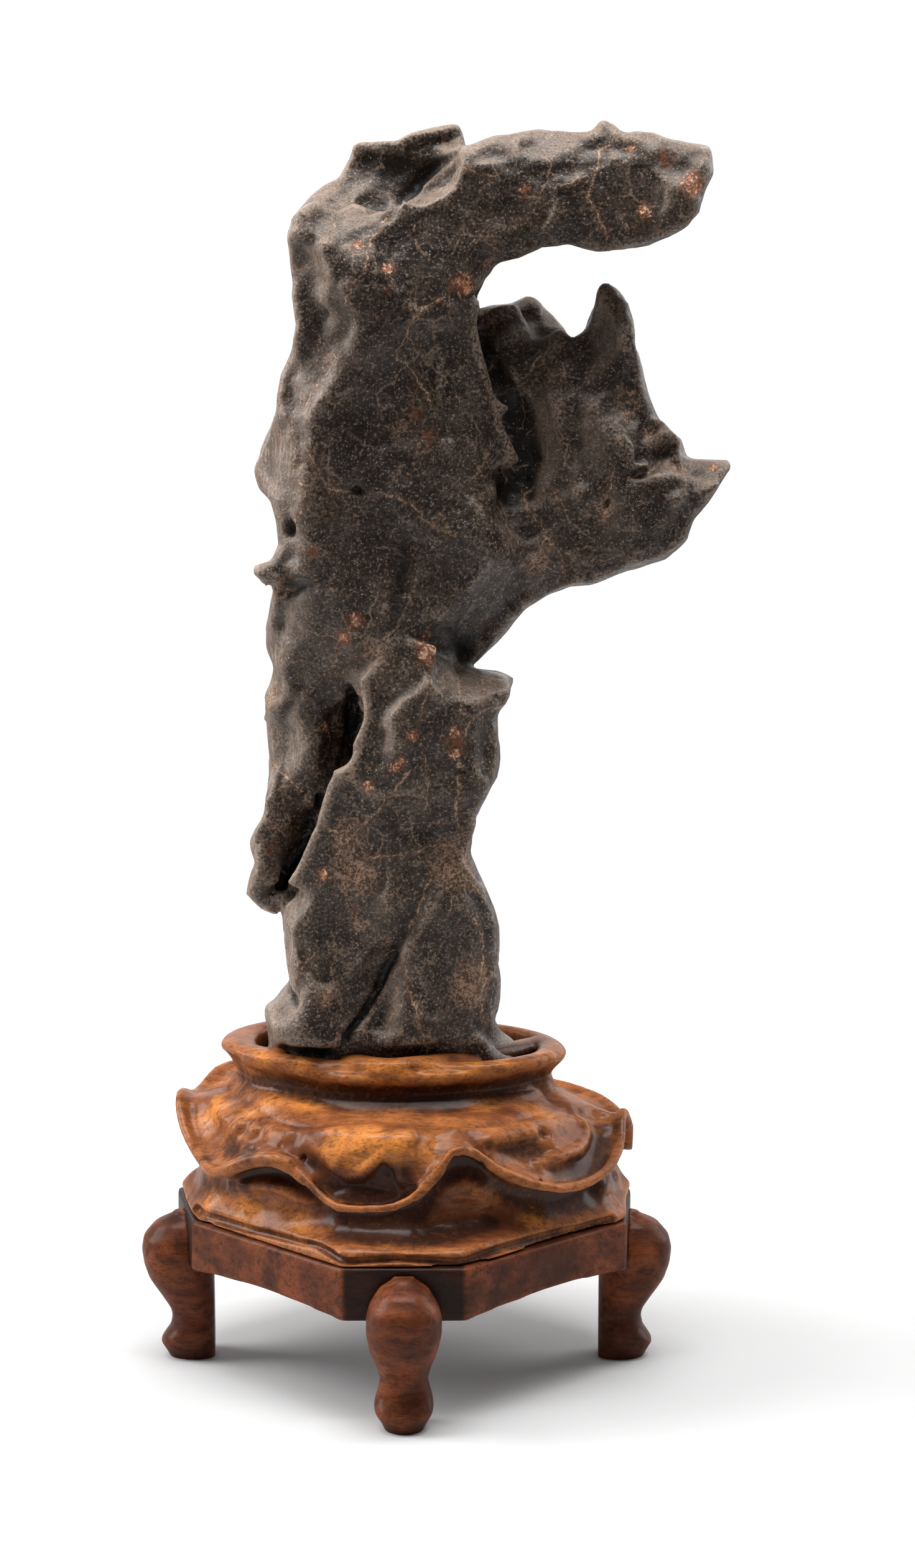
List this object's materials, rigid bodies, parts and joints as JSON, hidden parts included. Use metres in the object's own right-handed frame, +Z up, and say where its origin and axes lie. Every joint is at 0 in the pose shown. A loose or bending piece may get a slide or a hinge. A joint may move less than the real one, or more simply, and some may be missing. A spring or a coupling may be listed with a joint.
{
  "type": "chinese scholar stone on stand",
  "caption": "Upright dark scholar stone with a reaching arm, a crag with a beak and a hanging tip, loose in the socket of a carved hardwood stand with cabriole legs.",
  "frame": {"origin": "on the floor, under the middle of the whole object's bounding box", "axes": "+Z up, +X to the right as seen from the front, where the front leg, the broad face of the stone and its arm reaching right are seen looking along +Y"},
  "size_m": [0.1861, 0.1696, 0.3924],
  "materials": {
    "stone": "hand-rubbed dark limestone with pale veins, fine light specks and rusty crystal spots",
    "carved_wood": "polished golden brown hardwood, darker in the hollows",
    "board_wood": "polished red brown hardwood with fine dark grain"
  },
  "bodies": {
    "root": {"stone": "stone", "stand_top": "carved_wood", "stand_apron": "board_wood", "leg_front": "board_wood", "leg_right": "board_wood", "leg_back": "board_wood", "leg_left": "board_wood"}
  },
  "joints": []
}
